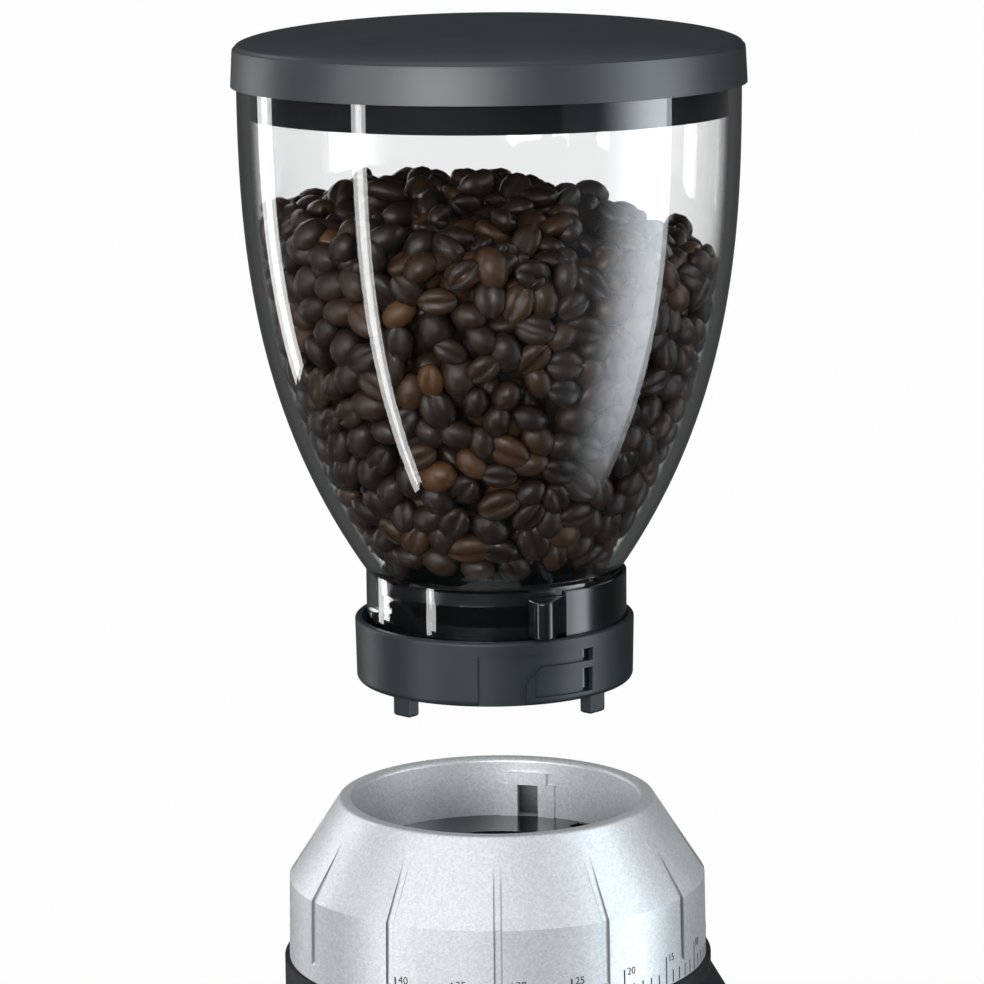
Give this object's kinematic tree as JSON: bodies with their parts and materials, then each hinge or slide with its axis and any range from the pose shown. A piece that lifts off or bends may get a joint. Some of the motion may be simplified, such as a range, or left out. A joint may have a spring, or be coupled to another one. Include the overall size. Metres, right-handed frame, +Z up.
{
  "type": "burr coffee grinder",
  "caption": "Coffee grinder with a clear lift-off bean hopper, a turning grind collar, a conical burr mill, a geared motor and a fork for a portafilter.",
  "frame": {"origin": "middle of the footprint, on the table top", "axes": "+Z up, front towards -Y, +X to the right seen from the front"},
  "size_m": [0.136, 0.218, 0.4342],
  "materials": {
    "dark_plastic": "satin",
    "black_plastic": "satin",
    "seal_rubber": "matte",
    "clear_plastic": "clear",
    "cast_metal": "fine cast, satin",
    "housing_plastic": "fine matte grain",
    "burr_steel": "ground",
    "screw_steel": "zinc plated",
    "gear_plastic": "satin",
    "pinion_brass": "machined",
    "board_green": "satin"
  },
  "bodies": {
    "housing": {"head_housing": "housing_plastic", "column_housing": "housing_plastic", "front_panel": "housing_plastic", "base_housing": "housing_plastic", "base_plate": "housing_plastic", "base_screws": "screw_steel", "rubber_feet": "seal_rubber", "portafilter_fork": "burr_steel", "fork_screws": "screw_steel", "grinding_chamber": "cast_metal", "chamber_screws": "screw_steel", "upper_bearing": "burr_steel", "lower_bearing": "burr_steel", "gear_case": "cast_metal", "idler_pin": "burr_steel", "motor_can": "burr_steel", "motor_screws": "screw_steel", "grounds_chute": "black_plastic", "start_switch": "black_plastic", "rocker_frame": "black_plastic", "control_board": "board_green", "cord_gland": "black_plastic"},
    "collar": {"grind_collar": "cast_metal", "hopper_seat": "black_plastic"},
    "burr_carrier": {"upper_burr_carrier": "black_plastic", "ring_burr": "burr_steel", "ring_burr_screws": "screw_steel"},
    "hopper": {"hopper_bowl": "clear_plastic", "hopper_base_ring": "dark_plastic", "hopper_screws": "screw_steel", "bean_funnel": "black_plastic"},
    "lid": {"lid_cover": "dark_plastic", "lid_seal": "seal_rubber"},
    "shutter": {"shutter_disc": "black_plastic", "shutter_lever": "black_plastic"},
    "burr_rotor": {"cone_burr": "burr_steel", "cone_burr_nut": "burr_steel", "grounds_sweeper": "black_plastic", "burr_shaft": "burr_steel", "drive_gear": "gear_plastic"},
    "idler": {"idler_gear": "gear_plastic"},
    "motor_rotor": {"motor_shaft": "burr_steel", "motor_pinion": "pinion_brass"},
    "start_button": {"start_button": "black_plastic"},
    "rocker": {"power_rocker": "black_plastic"},
    "tray": {"crumb_tray": "black_plastic"}
  },
  "joints": [
    {"name": "grind_adjust", "type": "hinge", "parent": "housing", "child": "collar", "pos_m": [0, 0.041, 0.2], "axis": [0, 0, 1], "range_deg": [-40, 88]},
    {"name": "burr_carrier_rise", "type": "slide", "parent": "housing", "child": "burr_carrier", "axis": [0, 0, 1], "range_m": [-0.0008, 0.0016]},
    {"name": "hopper_lift", "type": "slide", "parent": "collar", "child": "hopper", "axis": [0, 0, 1], "range_m": [-0.0496, 0.02]},
    {"name": "lid_lift", "type": "slide", "parent": "hopper", "child": "lid", "axis": [0, 0, 1], "range_m": [0, 0.04]},
    {"name": "shutter_turn", "type": "hinge", "parent": "hopper", "child": "shutter", "pos_m": [0, 0.041, 0.26], "axis": [0, 0, 1], "range_deg": [-85, 0]},
    {"name": "burr_spin", "type": "hinge", "parent": "housing", "child": "burr_rotor", "pos_m": [0, 0.041, 0.15], "axis": [0, 0, 1], "continuous": true},
    {"name": "idler_spin", "type": "hinge", "parent": "housing", "child": "idler", "pos_m": [0, 0.065, 0.135], "axis": [0, 0, 1], "continuous": true},
    {"name": "motor_spin", "type": "hinge", "parent": "housing", "child": "motor_rotor", "pos_m": [0, 0.041, 0.12], "axis": [0, 0, 1], "continuous": true},
    {"name": "start_press", "type": "slide", "parent": "housing", "child": "start_button", "axis": [0, 1, 0], "range_m": [0, 0.004], "stiffness_N_per_m": 400},
    {"name": "power_rock", "type": "hinge", "parent": "housing", "child": "rocker", "pos_m": [0.0562, 0.041, 0.07], "axis": [0, 1, 0], "range_deg": [0, 14]},
    {"name": "tray_lift", "type": "slide", "parent": "housing", "child": "tray", "axis": [0, 0, 1], "range_m": [0, 0.03]}
  ],
  "couplings": [
    {"joint": "burr_carrier_rise", "follows": "grind_adjust", "m_per_rad": 0.00095493},
    {"joint": "idler_spin", "follows": "burr_spin", "ratio": -4},
    {"joint": "motor_spin", "follows": "burr_spin", "ratio": 16}
  ]
}
